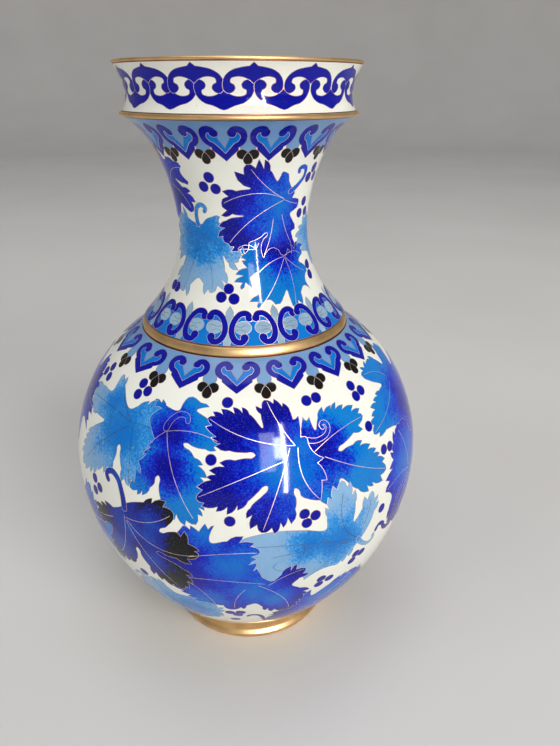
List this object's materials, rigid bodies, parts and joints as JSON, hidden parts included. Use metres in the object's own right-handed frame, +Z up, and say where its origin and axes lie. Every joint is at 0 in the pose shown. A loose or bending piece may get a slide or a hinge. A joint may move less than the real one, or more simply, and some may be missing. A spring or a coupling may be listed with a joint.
{
  "type": "cloisonne vase",
  "caption": "Baluster vase with a globular belly, waisted neck and dish mouth: copper walls, blue and white cloisonne enamel, brass rings.",
  "frame": {"origin": "centre of the circle that the foot ring stands on", "axes": "+Z up along the vase's axis of symmetry, -Y towards the side with the large cobalt leaf, +X to the right of it"},
  "size_m": [0.188, 0.188, 0.3048],
  "materials": {
    "copper": "beaten sheet copper, hidden between the enamels",
    "brass": "gilt brass, polished with fine turning lines",
    "white_enamel": "polished warm white vitreous enamel with fine pits",
    "cobalt_enamel": "polished cobalt vitreous enamel, granular where it is shaded",
    "azure_enamel": "polished azure vitreous enamel, granular where it is shaded",
    "pale_blue_enamel": "polished pale blue vitreous enamel",
    "black_enamel": "polished black vitreous enamel",
    "counter_enamel": "glossy turquoise counter-enamel with a slight orange peel"
  },
  "bodies": {
    "root": {"copper_belly_lower": "copper", "copper_belly_upper": "copper", "copper_neck": "copper", "copper_mouth_collar": "copper", "copper_base_plate": "copper", "enamel_belly_field": "white_enamel", "enamel_shoulder_lappets": "pale_blue_enamel", "enamel_neck_scrolls": "azure_enamel", "enamel_neck_field": "white_enamel", "enamel_neck_lappets": "pale_blue_enamel", "enamel_mouth_band": "white_enamel", "enamel_lining_belly": "counter_enamel", "enamel_lining_neck": "counter_enamel", "enamel_lining_mouth": "counter_enamel", "enamel_base": "counter_enamel", "brass_rim": "brass", "brass_mouth_ridge": "brass", "brass_shoulder_ring": "brass", "brass_foot_ring": "brass"}
  },
  "joints": []
}
